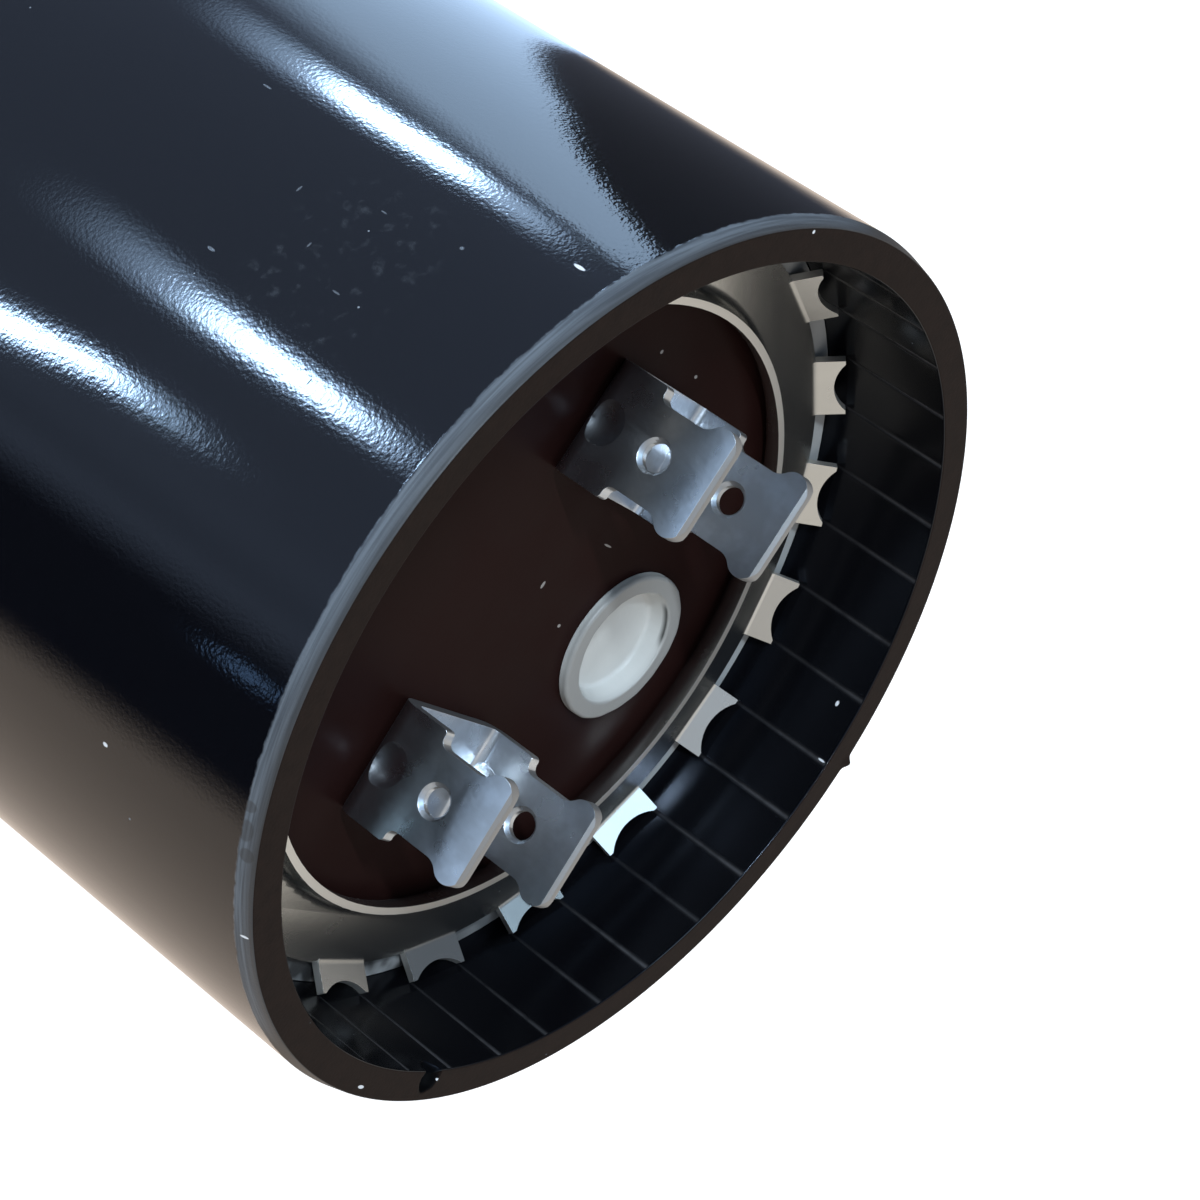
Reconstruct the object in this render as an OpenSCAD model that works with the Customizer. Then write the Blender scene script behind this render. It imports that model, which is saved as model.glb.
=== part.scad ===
// Motor start capacitor: a moulded cup holds a wound element and is closed by
// a riveted header disc, which a toothed spring ring holds down.
// The cup stands on its closed end, and the terminals point up out of the mouth.

/* [Case] */
// Outside diameter of the cup
case_d = 52.4; // [50:0.1:60]
// Height of the cup from its foot to its rim
case_h = 85.7; // [70:0.1:110]
// Wall at the mouth
mouth_wall = 2.2; // [1.6:0.1:2.6]
// Wall below the ledge that carries the header
lower_wall = 3.6; // [3.3:0.1:4.5]
// Thickness of the closed end
floor_t = 2.6; // [2:0.1:5]
// Radius round the foot of the cup
foot_r = 1.6; // [0.5:0.1:2.5]
// Radius in the corner inside the closed end
inner_corner_r = 1.2; // [0.4:0.1:1.4]
// Height of the bevel on the outer edge of the rim
bevel_h = 1.0; // [0.3:0.1:2]
// Depth of the bevel into the wall
bevel_in = 0.3; // [0.1:0.05:0.8]
// Radius of the chip out of the inner edge of the rim
chip_r = 0.85; // [0.6:0.05:1]
// Distance of the chip's centre outside the bore
chip_out = 0.4; // [0.2:0.05:0.5]
// Direction of the chip, from the +X axis
chip_turn = 10.6; // [0:0.1:360]

/* [Header disc] */
// Depth of the disc's top face below the rim
header_depth = 8.6; // [8.5:0.1:12]
// Thickness of the disc
disc_t = 3.2; // [2.4:0.1:5]

/* [Header gasket] */
// Wall of the gasket between the disc and the bore
gasket_wall = 0.8; // [0.5:0.05:1]
// Width of the gasket's lip over the edge of the disc
gasket_lip_w = 2.3; // [1.6:0.1:3]
// Thickness of that lip
gasket_lip_t = 0.8; // [0.4:0.1:1.4]

/* [Vent plug] */
// Distance of the plug from the axis of the cup
plug_offset = 11.2; // [10.6:0.1:12]
// Diameter of the flange
plug_flange_d = 9.1; // [8.9:0.1:9.8]
// Thickness of the flange
plug_flange_t = 0.6; // [0.3:0.05:1]
// Diameter of the neck in the disc
plug_neck_d = 8.0; // [7.7:0.1:8.2]
// Diameter of the recess at its mouth
plug_recess_d = 7.0; // [6.4:0.1:7.2]
// Depth of the recess
plug_recess_depth = 1.3; // [0.8:0.1:1.8]
// How much narrower the floor of the recess is than its mouth
plug_recess_taper = 0.6; // [0.2:0.1:1]
// Thickness of the skin that bursts under pressure
plug_skin = 0.8; // [0.4:0.1:1]
// Overhang of the bead under the disc
plug_bead_w = 0.5; // [0.2:0.05:0.8]
// Height of the bead
plug_bead_h = 1.0; // [0.5:0.1:2]

/* [Retaining ring] */
// Sheet thickness of the ring
ring_t = 0.45; // [0.3:0.05:0.6]
// Inner diameter of the upturned lip
lip_d = 36.4; // [34:0.1:38]
// Height of the lip above the disc
lip_h = 1.65; // [1.4:0.05:2.2]
// Inside radius of the bend at the lip
lip_bend_r = 0.8; // [0.3:0.1:0.9]
// Room between the edge of the ring and the bore, between two teeth
ring_edge_gap = 1.45; // [1.2:0.05:1.6]
// Number of teeth
tooth_count = 19; // [12:1:22]
// Width of a tooth
tooth_w = 4.0; // [3.2:0.1:4.6]
// Angle that a tooth is bent up
tooth_angle = 45; // [35:1:52]
// Inside radius of the bend at the root of a tooth
tooth_bend_r = 0.5; // [0.3:0.05:0.6]
// Room between the root of a tooth and the bore
tooth_root_gap = 1.9; // [1.8:0.05:2]
// Depth of the scallop in the end of a tooth
scallop_depth = 0.65; // [0.3:0.05:0.8]
// Flat left at each point of a tooth
point_land = 0.25; // [0.1:0.05:0.5]
// Direction of the first tooth, from the +X axis
ring_turn = 9.7; // [0:0.1:30]

/* [Terminals] */
// Distance between the two rivets
terminal_pitch = 20.7; // [20:0.1:22]
// Sheet thickness of a terminal
blade_t = 0.8; // [0.6:0.05:1]
// Height of the blades above the disc
blade_h = 9.0; // [8.6:0.1:9.4]
// Distance over the outer faces of a pair of blades
fork_w = 9.5; // [8.5:0.1:10.5]
// Outside radius of the folds
fold_r = 1.3; // [1.1:0.1:1.6]
// Width of the foot and of the folds
foot_w = 6.7; // [6.6:0.05:7]
// Height of the shoulders of the foot of a blade
foot_h = 3.7; // [3.5:0.1:4]
// Radius at the shoulders
shoulder_r = 0.25; // [0.15:0.05:0.25]
// Width of the neck
neck_w = 5.0; // [4.8:0.1:5.1]
// Radius between the shoulders and the neck
neck_step_r = 0.5; // [0.3:0.05:0.5]
// Radius between the neck and the head
neck_flare_r = 1.1; // [0.8:0.05:1.2]
// Width of the head that takes the connector
head_w = 6.35; // [6.2:0.05:6.5]
// Radius at the ends of the head
head_end_r = 1.0; // [0.8:0.05:1.1]
// Bevel on the tip of a blade
tip_bevel = 0.2; // [0.1:0.05:0.3]
// Diameter of the detent hole
detent_d = 1.6; // [1.2:0.1:2]
// Height of the detent hole above the disc
detent_z = 5.2; // [5:0.1:5.4]
// Depth of the countersinks of the detent hole
detent_sink = 0.22; // [0.1:0.02:0.28]
// Radius of the dart pressed into each fold
dart_r = 2.0; // [1.9:0.1:2.1]
// Distance of the dart's centre outside the blade
dart_out = 1.55; // [1.5:0.05:1.7]
// Height of the dart's centre above the disc
dart_z = 1.5; // [1.3:0.1:1.6]
// Turn of the right terminal on its rivet
right_turn = 2; // [-4:0.1:4]
// Turn of the left terminal on its rivet
left_turn = -0.6; // [-4:0.1:4]

/* [Rivets] */
// Diameter of the shank
rivet_d = 2.6; // [2.4:0.1:2.8]
// Diameter of the head inside the fork
rivet_head_d = 3.8; // [3.6:0.1:4.2]
// Height of that head
rivet_head_h = 0.7; // [0.5:0.1:0.9]
// Diameter of the end that is peened over the washer
rivet_end_d = 4.0; // [3.7:0.1:4.4]
// Height of the peened end
rivet_end_h = 0.8; // [0.5:0.1:1.2]
// Diameter of the washer
washer_d = 8.0; // [6.5:0.1:9]
// Thickness of the washer
washer_t = 0.8; // [0.5:0.1:1.2]

/* [Element] */
// Height between the disc and the winding, where the tabs are folded
tab_room = 6.5; // [5:0.1:9]
// Width of a lead tab
tab_w = 6.0; // [5:0.1:7]
// Thickness of a lead tab
tab_t = 0.3; // [0.2:0.05:0.5]
// Inside radius of the folds of a lead tab
tab_bend_r = 0.8; // [0.4:0.1:1.2]
// Length of a lead tab past the rivet towards the wall
tab_outer = 3.2; // [2.6:0.1:4]
// Room between the edge of the washer and the fold of a lead tab
tab_fold_gap = 0.1; // [0.05:0.05:0.5]
// Length of the end of a lead tab on the winding
tab_end = 3.0; // [2:0.1:4]
// Room between the winding and the wall
winding_gap = 1.6; // [1.5:0.1:2.4]
// Diameter of the hole that the winding arbor leaves
core_d = 5.0; // [3:0.1:8]
// Width of the band round the winding
tape_w = 25; // [15:1:40]
// Thickness of the band
tape_t = 0.25; // [0.1:0.05:0.5]
// Thickness of the cushion under the winding
pad_t = 2.0; // [1.5:0.1:4]

/* [Fits] */
// Radial room between pieces that go into each other
fit_gap = 0.04; // [0.02:0.01:0.1]

/* [Hidden] */
$fn = 96;
// Overlap of cutting shapes with the faces that they open
cut = 1;

case_r = case_d / 2;
bore_r = case_r - mouth_wall;
lower_r = case_r - lower_wall;

disc_top = case_h - header_depth;
ledge_z = disc_top - disc_t;
disc_r = bore_r - gasket_wall;
rebate_r = bore_r - gasket_lip_w;

ring_r = bore_r - ring_edge_gap;
lip_r = lip_d / 2;
tooth_root_r = bore_r - tooth_root_gap;
// A tooth is flat and the bore is round, so its two points reach the bore first
tooth_end_r = sqrt(pow(bore_r - fit_gap, 2) - pow(tooth_w / 2, 2));
// Straight length of a tooth past its bend
tooth_l = (tooth_end_r - tooth_root_r - (tooth_bend_r + ring_t) * sin(tooth_angle)) / cos(tooth_angle);
scallop_half = tooth_w / 2 - point_land;
scallop_r = (pow(scallop_half, 2) + pow(scallop_depth, 2)) / (2 * scallop_depth);

terminal_x = terminal_pitch / 2;
rivet_hole_r = rivet_d / 2 + fit_gap;

pad_top = floor_t + pad_t;
winding_top = ledge_z - tab_room;
winding_r = lower_r - winding_gap;

// Quarter or part of a flat ring, centred on the origin, between two directions
module arc_band_2d(inner_r, width, from, to) {
    reach = 2 * (inner_r + width);
    middle = (from + to) / 2;
    intersection() {
        difference() {
            circle(r = inner_r + width);
            circle(r = inner_r);
        }
        polygon([[0, 0],
                 reach * [cos(from), sin(from)],
                 reach * [cos(middle), sin(middle)],
                 reach * [cos(to), sin(to)]]);
    }
}

// Rectangle on the X axis with its two lower corners rounded
module round_foot_2d(width, height, r) {
    translate([-width / 2, r]) square([width, height - r]);
    translate([-width / 2 + r, 0]) square([width - 2 * r, height]);
    for (side = [-1, 1])
        translate([side * (width / 2 - r), r]) circle(r = r);
}

// Half section of the cup's outside, with the foot rounded and the rim bevelled
module case_outside_2d() {
    translate([0, foot_r]) square([case_r, case_h - foot_r - bevel_h]);
    square([case_r - foot_r, case_h]);
    translate([case_r - foot_r, foot_r])
        intersection() {
            circle(r = foot_r);
            translate([0, -foot_r]) square([foot_r, foot_r]);
        }
    polygon([[0, case_h - bevel_h], [case_r, case_h - bevel_h],
             [case_r - bevel_in, case_h], [0, case_h]]);
}

// Half section of the room below the ledge, with its lower corner rounded
module case_room_2d() {
    corner = [lower_r - inner_corner_r, floor_t + inner_corner_r];
    translate([0, corner.y]) square([lower_r, ledge_z - corner.y + cut]);
    translate([0, floor_t]) square([corner.x, inner_corner_r]);
    translate(corner)
        intersection() {
            circle(r = inner_corner_r);
            translate([0, -inner_corner_r]) square(inner_corner_r);
        }
}

// One-piece moulded cup
module case() {
    color([0.03, 0.03, 0.035])
        difference() {
            rotate_extrude() case_outside_2d();
            rotate_extrude() case_room_2d();
            translate([0, 0, ledge_z]) cylinder(r = bore_r, h = header_depth + disc_t + cut);
            rotate([0, 0, chip_turn]) translate([bore_r + chip_out, 0, case_h]) sphere(r = chip_r, $fn = 32);
        }
}

// Fibre cushion on the floor of the cup
module bottom_pad() {
    color([0.55, 0.45, 0.32])
        translate([0, 0, floor_t]) cylinder(r = winding_r, h = pad_t);
}

// Foil and paper roll, with the hole of the arbor that it was wound on
module winding() {
    color([0.72, 0.66, 0.52])
        translate([0, 0, pad_top])
            difference() {
                cylinder(r = winding_r, h = winding_top - pad_top);
                translate([0, 0, -cut]) cylinder(d = core_d, h = winding_top - pad_top + 2 * cut);
            }
}

// Band that keeps the roll closed, at half its height
module winding_tape() {
    color([0.82, 0.78, 0.66])
        translate([0, 0, (pad_top + winding_top - tape_w) / 2])
            difference() {
                cylinder(r = winding_r + fit_gap + tape_t, h = tape_w);
                translate([0, 0, -cut]) cylinder(r = winding_r + fit_gap, h = tape_w + 2 * cut);
            }
}

// Side view of a lead tab, with the rivet at x = 0 and the underside of the disc at y = 0
module lead_tab_2d() {
    outer_bend = tab_bend_r + tab_t;
    tab_inner = washer_d / 2 + tab_fold_gap + outer_bend;
    drop = tab_room - 2 * outer_bend;
    translate([-tab_inner + outer_bend, -tab_t]) square([tab_inner - outer_bend + tab_outer, tab_t]);
    translate([-tab_inner + outer_bend, -outer_bend]) arc_band_2d(tab_bend_r, tab_t, 90, 180);
    translate([-tab_inner, -outer_bend - drop]) square([tab_t, drop]);
    translate([-tab_inner + outer_bend, -outer_bend - drop]) arc_band_2d(tab_bend_r, tab_t, 180, 270);
    translate([-tab_inner + outer_bend, -tab_room]) square([tab_end, tab_t]);
}

// Foil tab riveted under the disc and folded down onto the winding
module lead_tab() {
    color([0.75, 0.76, 0.78])
        translate([0, 0, ledge_z])
            difference() {
                translate([terminal_x, 0, 0])
                    rotate([90, 0, 0])
                        linear_extrude(height = tab_w, center = true) lead_tab_2d();
                translate([terminal_x, 0, -tab_t - cut]) cylinder(r = rivet_hole_r, h = tab_t + 2 * cut);
            }
}

// Washer between a lead tab and the peened end of its rivet
module rivet_washer() {
    color([0.7, 0.7, 0.7])
        translate([terminal_x, 0, ledge_z - tab_t - washer_t])
            difference() {
                cylinder(d = washer_d, h = washer_t);
                translate([0, 0, -cut]) cylinder(r = rivet_hole_r, h = washer_t + 2 * cut);
            }
}

// Laminate disc with a rebate for the gasket, two rivet holes and the vent hole
module header_disc() {
    hole_h = disc_t + 2 * cut;
    color([0.13, 0.07, 0.06])
        difference() {
            union() {
                translate([0, 0, ledge_z]) cylinder(r = disc_r, h = disc_t - gasket_lip_t);
                translate([0, 0, ledge_z]) cylinder(r = rebate_r, h = disc_t);
            }
            for (side = [-1, 1])
                translate([side * terminal_x, 0, ledge_z - cut]) cylinder(r = rivet_hole_r, h = hole_h);
            translate([0, plug_offset, ledge_z - cut]) cylinder(d = plug_neck_d + 2 * fit_gap, h = hole_h);
        }
}

// Rubber seal: a wall between disc and bore, with a lip over the edge of the disc
module header_gasket() {
    lip_z = disc_top - gasket_lip_t;
    color([0.6, 0.6, 0.58])
        difference() {
            translate([0, 0, ledge_z]) cylinder(r = bore_r - fit_gap, h = disc_t);
            translate([0, 0, ledge_z - cut]) cylinder(r = disc_r + fit_gap, h = lip_z - ledge_z + cut);
            translate([0, 0, lip_z - cut]) cylinder(r = rebate_r + fit_gap, h = gasket_lip_t + 2 * cut);
        }
}

// Rubber plug: a flange on the disc, a bead under it and a thin skin under the recess
module vent_plug() {
    skin_z = disc_top + plug_flange_t - plug_recess_depth;
    recess_r = plug_recess_d / 2;
    floor_r = (plug_recess_d - plug_recess_taper) / 2;
    color([0.78, 0.78, 0.76])
        translate([0, plug_offset, 0])
            difference() {
                union() {
                    translate([0, 0, disc_top]) cylinder(d = plug_flange_d, h = plug_flange_t);
                    translate([0, 0, ledge_z]) cylinder(d = plug_neck_d, h = disc_t);
                    translate([0, 0, ledge_z - plug_bead_h])
                        cylinder(d1 = plug_neck_d, d2 = plug_neck_d + 2 * plug_bead_w, h = plug_bead_h);
                }
                translate([0, 0, skin_z]) cylinder(r1 = floor_r, r2 = recess_r, h = plug_recess_depth);
                translate([0, 0, ledge_z - plug_bead_h - cut])
                    cylinder(r = floor_r, h = skin_z - plug_skin - ledge_z + plug_bead_h + cut);
            }
}

// Section of a terminal across its two folds: a foot with two upright blades
module terminal_fold_2d() {
    difference() {
        round_foot_2d(fork_w, blade_h, fold_r);
        translate([0, blade_t]) round_foot_2d(fork_w - 2 * blade_t, blade_h, fold_r - blade_t);
        for (side = [-1, 1], face = [0, blade_t])
            translate([side * (fork_w / 2 - face), blade_h]) rotate(45) square(tip_bevel * sqrt(2), center = true);
    }
}

// Front outline of a blade: wide foot with round shoulders, narrow neck and round-ended head
module blade_outline_2d() {
    head_z = blade_h - head_end_r;
    head_x = head_w / 2 - head_end_r;
    flare_x = neck_w / 2 + neck_flare_r;
    // The flare touches the side of the neck and the round end of the head
    flare_z = head_z - sqrt(pow(head_end_r + neck_flare_r, 2) - pow(flare_x - head_x, 2));
    step_x = neck_w / 2 + neck_step_r;
    shoulder_x = foot_w / 2 - shoulder_r;
    shoulder_z = foot_h - shoulder_r;
    translate([-foot_w / 2, 0]) square([foot_w, shoulder_z]);
    translate([-shoulder_x, 0]) square([2 * shoulder_x, foot_h]);
    translate([-neck_w / 2, 0]) square([neck_w, head_z]);
    translate([-head_x, head_z]) square([2 * head_x, head_end_r]);
    for (side = [0, 1])
        mirror([side, 0]) {
            translate([head_x, head_z]) circle(r = head_end_r);
            translate([shoulder_x, shoulder_z]) circle(r = shoulder_r);
            difference() {
                polygon([[0, flare_z], [flare_x, flare_z], [head_x, head_z], [0, head_z]]);
                translate([flare_x, flare_z]) circle(r = neck_flare_r);
            }
            difference() {
                translate([0, foot_h]) square([step_x, neck_step_r]);
                translate([step_x, foot_h + neck_step_r]) circle(r = neck_step_r);
            }
        }
}

// Darts pressed into both folds from outside, grown by the sheet thickness where asked
module darts(grow) {
    for (side = [-1, 1])
        translate([0, side * (fork_w / 2 + dart_out), dart_z]) sphere(r = dart_r + grow);
}

// Detent hole through both blades, countersunk on each face
module detent_holes() {
    outer_face = fork_w / 2;
    inner_face = outer_face - blade_t;
    sink_d = detent_d + 2 * detent_sink;
    translate([0, 0, detent_z])
        rotate([90, 0, 0]) {
            cylinder(d = detent_d, h = fork_w + 2 * cut, center = true);
            for (turn = [0, 180])
                rotate([0, turn, 0]) {
                    translate([0, 0, outer_face - detent_sink])
                        cylinder(d1 = detent_d, d2 = sink_d, h = detent_sink);
                    translate([0, 0, inner_face])
                        cylinder(d1 = sink_d, d2 = detent_d, h = detent_sink);
                }
        }
}

// Folded double-blade push-on terminal, standing on the disc at the origin
module terminal() {
    color([0.72, 0.73, 0.75])
        difference() {
            union() {
                intersection() {
                    rotate([90, 0, 90]) linear_extrude(height = foot_w, center = true) terminal_fold_2d();
                    rotate([90, 0, 0]) linear_extrude(height = fork_w, center = true) blade_outline_2d();
                }
                // Ribs that the darts raise inside the folds
                intersection() {
                    darts(blade_t);
                    translate([-foot_w / 2, -fork_w / 2 + blade_t / 2, blade_t / 2])
                        cube([foot_w, fork_w - blade_t, foot_h]);
                }
            }
            darts(0);
            detent_holes();
            translate([0, 0, -cut]) cylinder(r = rivet_hole_r, h = blade_t + 2 * cut);
        }
}

// Rivet through terminal, disc, lead tab and washer: a domed head on the foot of
// the terminal and an end peened over the washer
module rivet() {
    grip = blade_t + disc_t + tab_t + washer_t;
    dome_r = (pow(rivet_head_d / 2, 2) + pow(rivet_head_h, 2)) / (2 * rivet_head_h);
    shank_l = rivet_end_h / 2 + grip + rivet_head_h / 2;
    color([0.66, 0.67, 0.69])
        translate([0, 0, disc_top + blade_t]) {
            translate([0, 0, -grip - rivet_end_h / 2]) cylinder(d = rivet_d, h = shank_l);
            translate([0, 0, -grip - rivet_end_h])
                cylinder(d1 = rivet_d, d2 = rivet_end_d, h = rivet_end_h);
            intersection() {
                translate([0, 0, rivet_head_h - dome_r]) sphere(r = dome_r);
                cylinder(r = dome_r, h = rivet_head_h + cut);
            }
        }
}

// Half section of the ring inside its teeth: the lip, its bend and the flat
module ring_2d() {
    bend = [lip_r + ring_t + lip_bend_r, ring_t + lip_bend_r];
    translate([bend.x, 0]) square([ring_r - bend.x, ring_t]);
    translate(bend) arc_band_2d(lip_bend_r, ring_t, 180, 270);
    translate([lip_r, bend.y]) square([ring_t, lip_h - bend.y]);
}

// Side view of a tooth, from the flat of the ring through the bend to its end
module tooth_2d() {
    root_l = ring_edge_gap + ring_t;
    bend_centre = [tooth_root_r, ring_t + tooth_bend_r];
    translate([tooth_root_r - root_l, 0]) square([root_l, ring_t]);
    translate(bend_centre) {
        arc_band_2d(tooth_bend_r, ring_t, 270, 270 + tooth_angle);
        rotate(tooth_angle) translate([0, -tooth_bend_r - ring_t]) square([tooth_l, ring_t]);
    }
}

// One tooth on the +X axis, with its scalloped end
module tooth() {
    difference() {
        rotate([90, 0, 0]) linear_extrude(height = tooth_w, center = true) tooth_2d();
        translate([tooth_root_r, 0, ring_t + tooth_bend_r])
            rotate([0, -tooth_angle, 0])
                translate([tooth_l - scallop_depth + scallop_r, 0, -tooth_bend_r - ring_t / 2])
                    cylinder(r = scallop_r, h = ring_t + 2 * cut, center = true);
    }
}

// Spring-steel ring that wedges in the bore and holds the header down
module retaining_ring() {
    color([0.62, 0.61, 0.58])
        translate([0, 0, disc_top]) {
            rotate_extrude() ring_2d();
            for (i = [0 : tooth_count - 1])
                rotate([0, 0, ring_turn + i * 360 / tooth_count]) tooth();
        }
}

// Puts a piece made for the +X side on the left or on the right
module on_side(side) {
    if (side > 0) children();
    else mirror([1, 0, 0]) children();
}

case();
bottom_pad();
winding();
winding_tape();
on_side(-1) lead_tab();  // lead_tab_left
on_side(1) lead_tab();  // lead_tab_right
on_side(-1) rivet_washer();  // rivet_washer_left
on_side(1) rivet_washer();  // rivet_washer_right
header_disc();
header_gasket();
vent_plug();
translate([-terminal_x, 0, disc_top]) rotate([0, 0, left_turn]) terminal();  // terminal_left
translate([terminal_x, 0, disc_top]) rotate([0, 0, right_turn]) terminal();  // terminal_right
translate([-terminal_x, 0, 0]) rivet();  // rivet_left
translate([terminal_x, 0, 0]) rivet();  // rivet_right
retaining_ring();
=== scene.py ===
import math

import bmesh
import bpy
import numpy as np
from mathutils import Matrix, Vector


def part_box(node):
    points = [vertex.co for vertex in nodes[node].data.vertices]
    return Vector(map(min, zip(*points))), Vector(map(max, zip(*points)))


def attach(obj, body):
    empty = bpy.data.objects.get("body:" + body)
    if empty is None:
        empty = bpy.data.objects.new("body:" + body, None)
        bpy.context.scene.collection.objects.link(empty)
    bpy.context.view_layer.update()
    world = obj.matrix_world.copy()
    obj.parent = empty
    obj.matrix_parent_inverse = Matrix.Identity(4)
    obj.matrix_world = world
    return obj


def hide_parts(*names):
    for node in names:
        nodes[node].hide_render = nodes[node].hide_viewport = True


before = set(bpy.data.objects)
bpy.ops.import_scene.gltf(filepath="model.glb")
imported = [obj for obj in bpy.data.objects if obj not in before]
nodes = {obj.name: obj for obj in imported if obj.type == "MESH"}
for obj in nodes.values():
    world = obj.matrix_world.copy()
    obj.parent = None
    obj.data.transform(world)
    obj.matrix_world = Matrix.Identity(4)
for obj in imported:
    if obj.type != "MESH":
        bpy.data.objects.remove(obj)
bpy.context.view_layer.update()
mm = 0.001


# Case: a cup moulded in one piece from black plastic, glossy as it left the mould. The rim was
# trimmed matt, a chip is missing from its inner edge, and the teeth of the retaining ring left a
# score line behind each point when they were driven down the bore.
case_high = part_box("case")[1]
gasket_low, gasket_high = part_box("header_gasket")
case_r = case_high.x
case_h = case_high.z
bore_r = gasket_high.x + 0.04 * mm
ledge_z = gasket_low.z
lower_r = case_r - 3.6 * mm
floor_t = 2.6 * mm
foot_r = 1.6 * mm
inner_corner_r = 1.2 * mm
bevel_h = 1.0 * mm
bevel_in = 0.3 * mm
bevel_edge_r = 0.3 * mm
rim_edge_r = 0.12 * mm
ledge_edge_r = 0.1 * mm
bevel_z = case_h - bevel_h
close_rows_z = case_h - 1.6 * mm


def rounded_outline(corners, arc_steps=6, guard=0.05 * mm):
    """Outline through rows of radius, height, corner radius and steps to the next corner. An arc that
    touches both sides stands at each corner: it starts radius * tan(turn / 2) before the corner. A row
    close to each end of a straight stretch keeps the shading of the arcs off the flat between them."""
    corners = np.array(corners, float)
    place = corners[:, :2]
    radius = corners[:, 2]
    ahead = np.diff(place, axis=0)
    ahead = ahead / np.linalg.norm(ahead, axis=1)[:, None]
    cross = ahead[:-1, 0] * ahead[1:, 1] - ahead[:-1, 1] * ahead[1:, 0]
    along = np.sum(ahead[:-1] * ahead[1:], axis=1)
    turn = np.arctan2(cross, along)
    reach = np.zeros(len(place))
    reach[1:-1] = radius[1:-1] * np.tan(np.abs(turn) / 2)
    rows = []
    for i, direction in enumerate(ahead):
        start = place[i] + direction * reach[i]
        end = place[i + 1] - direction * reach[i + 1]
        span = np.linalg.norm(end - start)
        inset = min(guard, span / 4) / span
        share = np.concatenate([[0], np.linspace(inset, 1 - inset, int(corners[i, 3]) + 1), [1]])
        rows.append(start + share[:, None] * (end - start))
        if i < len(turn) and radius[i + 1] > 0:
            angle = np.linspace(0, abs(turn[i]), arc_steps + 1)[1:-1, None]
            side = np.sign(turn[i]) * np.array([-direction[1], direction[0]])
            rows.append(end + radius[i + 1] * (direction * np.sin(angle) + side * (1 - np.cos(angle))))
    rows = np.concatenate(rows)
    fresh = np.linalg.norm(np.diff(rows, axis=0), axis=1) > 1e-9
    return rows[np.concatenate([[True], fresh])]


def revolved_piece(name, radius, height, turns, axis=(0, 0), marks=None):
    """Closed piece of revolution: point (i, j) lies at radius[i, j] from the axis in direction turns[j],
    at height[i, j]. Its first and last rows lie on the axis and become one point each, and marks are
    numbers carried by the points for the material to read."""
    rows, columns = radius.shape
    points = np.stack([axis[0] + radius * np.cos(turns), axis[1] + radius * np.sin(turns), height], axis=-1)
    body = points[1:-1].reshape(-1, 3)
    poles = points[[0, -1], 0]
    index = np.arange(len(body)).reshape(rows - 2, columns)
    after = np.roll(index, -1, axis=1)
    quads = np.stack([index[:-1], after[:-1], after[1:], index[1:]], axis=-1).reshape(-1, 4)
    first = np.full(columns, len(body))
    start_fan = np.stack([first, after[0], index[0]], axis=-1)
    end_fan = np.stack([first + 1, index[-1], after[-1]], axis=-1)
    faces = quads.tolist() + start_fan.tolist() + end_fan.tolist()
    mesh = bpy.data.meshes.new(name)
    mesh.from_pydata(np.concatenate([body, poles]), [], faces)
    mesh.polygons.foreach_set("use_smooth", np.ones(len(mesh.polygons), bool))
    for mark_name, value in (marks or {}).items():
        flat = np.concatenate([value[1:-1].reshape(-1), value[[0, -1], 0]])
        mesh.attributes.new(mark_name, "FLOAT", "POINT").data.foreach_set("value", flat.astype(np.float32))
    piece = bpy.data.objects.new(name, mesh)
    bpy.context.scene.collection.objects.link(piece)
    return piece


def rise(value, low, high):
    """Smooth step: 0 below low, 1 above high, and 3 t^2 - 2 t^3 of the share between them."""
    share = np.clip((value - low) / (high - low), 0, 1)
    return share * share * (3 - 2 * share)


# The rows of the bore lie closer together near the rim, where the chip and the score lines are
case_outline = rounded_outline([
    (0, 0, 0, 3),
    (case_r, 0, foot_r, 14),
    (case_r, bevel_z, bevel_edge_r, 4),
    (case_r - bevel_in, case_h, rim_edge_r, 14),
    (bore_r, case_h, rim_edge_r, 12),
    (bore_r, close_rows_z, 0, 8),
    (bore_r, ledge_z, ledge_edge_r, 1),
    (lower_r, ledge_z, ledge_edge_r, 3),
    (lower_r, floor_t, inner_corner_r, 3),
    (0, floor_t, 0, 3),
])

# Directions of the score lines: two for each tooth of the ring, one behind each point
tooth_count = 19
ring_turn = math.radians(9.7)
tooth_point_half = 1.87 * mm
tooth_turns = ring_turn + 2 * math.pi * np.arange(tooth_count) / tooth_count
point_turn = math.asin(tooth_point_half / bore_r)
score_turns = (tooth_turns[:, None] + np.array([-point_turn, point_turn])).reshape(-1)
score_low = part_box("retaining_ring")[1].z - 0.3 * mm
score_depth = 0.035 * mm
score_half = 0.065 * mm
score_widening = 0.035 * mm
score_force = np.random.default_rng(7).uniform(0.45, 1.0, len(score_turns))
chip_turn = math.radians(10.6)
chip_out = 0.4 * mm
chip_size = np.array([0.95, 0.72, 0.95]) * mm
burr_turn = math.radians(91.3)
burr_size = 0.28 * mm
burr_out = 0.42 * mm
burr_up = 0.12 * mm


def around(turn, half_width, step):
    """Columns spaced by step over a stretch of the bore centred on a turn."""
    return turn + np.arange(-half_width, half_width + step / 2, step) / bore_r


# One column to the degree, and closer ones round the chip, the burr and each score line
case_columns = np.concatenate([
    np.arange(360) * 2 * math.pi / 360,
    around(chip_turn, 1.1 * mm, 0.06 * mm),
    around(burr_turn, 0.8 * mm, 0.08 * mm),
    (score_turns[:, None] + around(0, 0.24 * mm, 0.06 * mm)).reshape(-1),
]) % (2 * math.pi)
case_columns = np.sort(case_columns)
case_columns = case_columns[np.append(np.diff(case_columns) > 0.02 * mm / bore_r, True)]


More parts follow.
